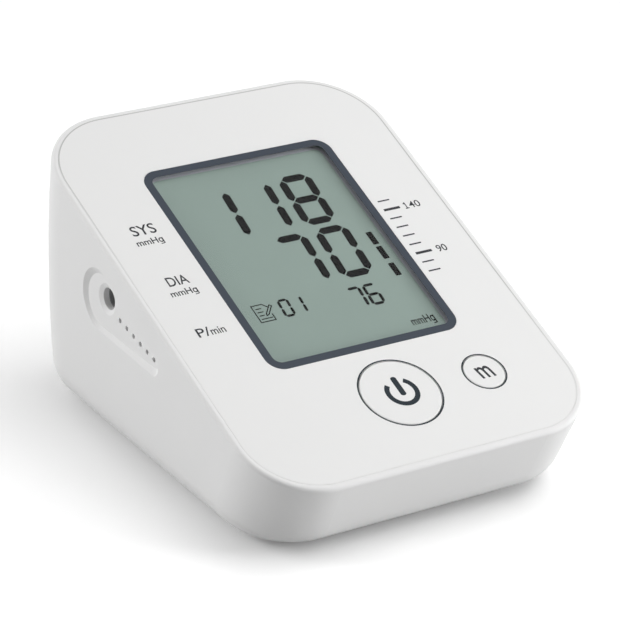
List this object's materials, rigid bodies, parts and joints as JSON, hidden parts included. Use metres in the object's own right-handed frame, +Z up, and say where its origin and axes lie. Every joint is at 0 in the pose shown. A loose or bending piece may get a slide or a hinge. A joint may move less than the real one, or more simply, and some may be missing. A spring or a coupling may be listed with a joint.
{
  "type": "desktop blood pressure monitor",
  "caption": "Wedge-shaped desktop blood pressure monitor with a sloped deck, grey LCD window, power and memory buttons, and a side socket for the cuff's air plug.",
  "frame": {"origin": "on the table, at the middle of the case's outline", "axes": "+Z up, +Y away from the user towards the high back edge of the sloped deck, +X to the user's right; the air socket is on the -X wall"},
  "size_m": [0.1026, 0.1315, 0.0739],
  "materials": {
    "white_plastic": "fine satin moulding",
    "clear_window": "clear gloss acrylic",
    "border_print": "dark slate print behind the window",
    "lcd_grey": "grey-green liquid crystal cell",
    "foot_rubber": "matte",
    "strip_rubber": "matte",
    "tube_silicone": "satin silicone",
    "screw_steel": "zinc plated",
    "contact_steel": "nickel plated",
    "motor_steel": "plated can",
    "black_plastic": "matte",
    "board_green": "solder resist",
    "cell_wrap": "foil-wrapped can",
    "socket_grey": "matte"
  },
  "bodies": {
    "case": {"upper_housing": "white_plastic", "faceplate": "white_plastic", "bottom_cover": "white_plastic", "foot_front_left": "foot_rubber", "foot_back_left": "foot_rubber", "foot_front_right": "foot_rubber", "foot_back_right": "foot_rubber", "case_screws": "screw_steel", "display_window": "clear_window", "window_border": "border_print", "lcd_glass": "lcd_grey", "lcd_frame": "white_plastic", "lcd_connector_strips": "strip_rubber", "power_switch": "black_plastic", "memory_switch": "black_plastic", "main_board": "board_green", "board_screws": "screw_steel", "controller_chip": "black_plastic", "buzzer": "black_plastic", "pressure_sensor": "white_plastic", "board_capacitors": "black_plastic", "wire_header": "white_plastic", "battery_cell_1": "cell_wrap", "battery_cell_2": "cell_wrap", "battery_cell_3": "cell_wrap", "battery_cell_4": "cell_wrap", "contact_springs": "contact_steel", "contact_plates": "contact_steel", "pump_motor": "motor_steel", "pump_sleeve": "strip_rubber", "pump_head": "black_plastic", "pump_rocker": "white_plastic", "pump_diaphragm": "strip_rubber", "pump_valve_plate": "white_plastic", "pump_cap": "black_plastic", "air_socket": "socket_grey", "air_joint": "white_plastic", "socket_tube": "tube_silicone", "pump_tube": "tube_silicone", "valve_tube": "tube_silicone", "sensor_tube": "tube_silicone", "valve_body": "motor_steel", "mains_socket": "black_plastic"},
    "power_key": {"power_button": "white_plastic", "power_switch_plunger": "black_plastic"},
    "memory_key": {"memory_button": "white_plastic", "memory_switch_plunger": "black_plastic"},
    "door": {"battery_door": "white_plastic"},
    "pump_rotor": {"pump_shaft": "screw_steel", "pump_crank": "black_plastic"},
    "exhaust_plunger": {"valve_plunger": "screw_steel"}
  },
  "joints": [
    {"name": "power_press", "type": "slide", "parent": "case", "child": "power_key", "axis": [0, 0.3746, -0.9272], "range_m": [0, 0.0005], "stiffness_N_per_m": 4000, "springref_m": -0.0004},
    {"name": "memory_press", "type": "slide", "parent": "case", "child": "memory_key", "axis": [0, 0.3746, -0.9272], "range_m": [0, 0.0005], "stiffness_N_per_m": 4000, "springref_m": -0.0004},
    {"name": "battery_door_swing", "type": "hinge", "parent": "case", "child": "door", "pos_m": [0, -0.02764, 0.00237], "axis": [-1, 0, 0], "range_deg": [0, 75]},
    {"name": "pump_crank_turn", "type": "hinge", "parent": "case", "child": "pump_rotor", "pos_m": [0, 0.04894, 0.0182], "axis": [1, 0, 0], "continuous": true},
    {"name": "valve_stroke", "type": "slide", "parent": "case", "child": "exhaust_plunger", "axis": [1, 0, 0], "range_m": [0, 0.0008], "stiffness_N_per_m": 400, "springref_m": -0.001}
  ]
}
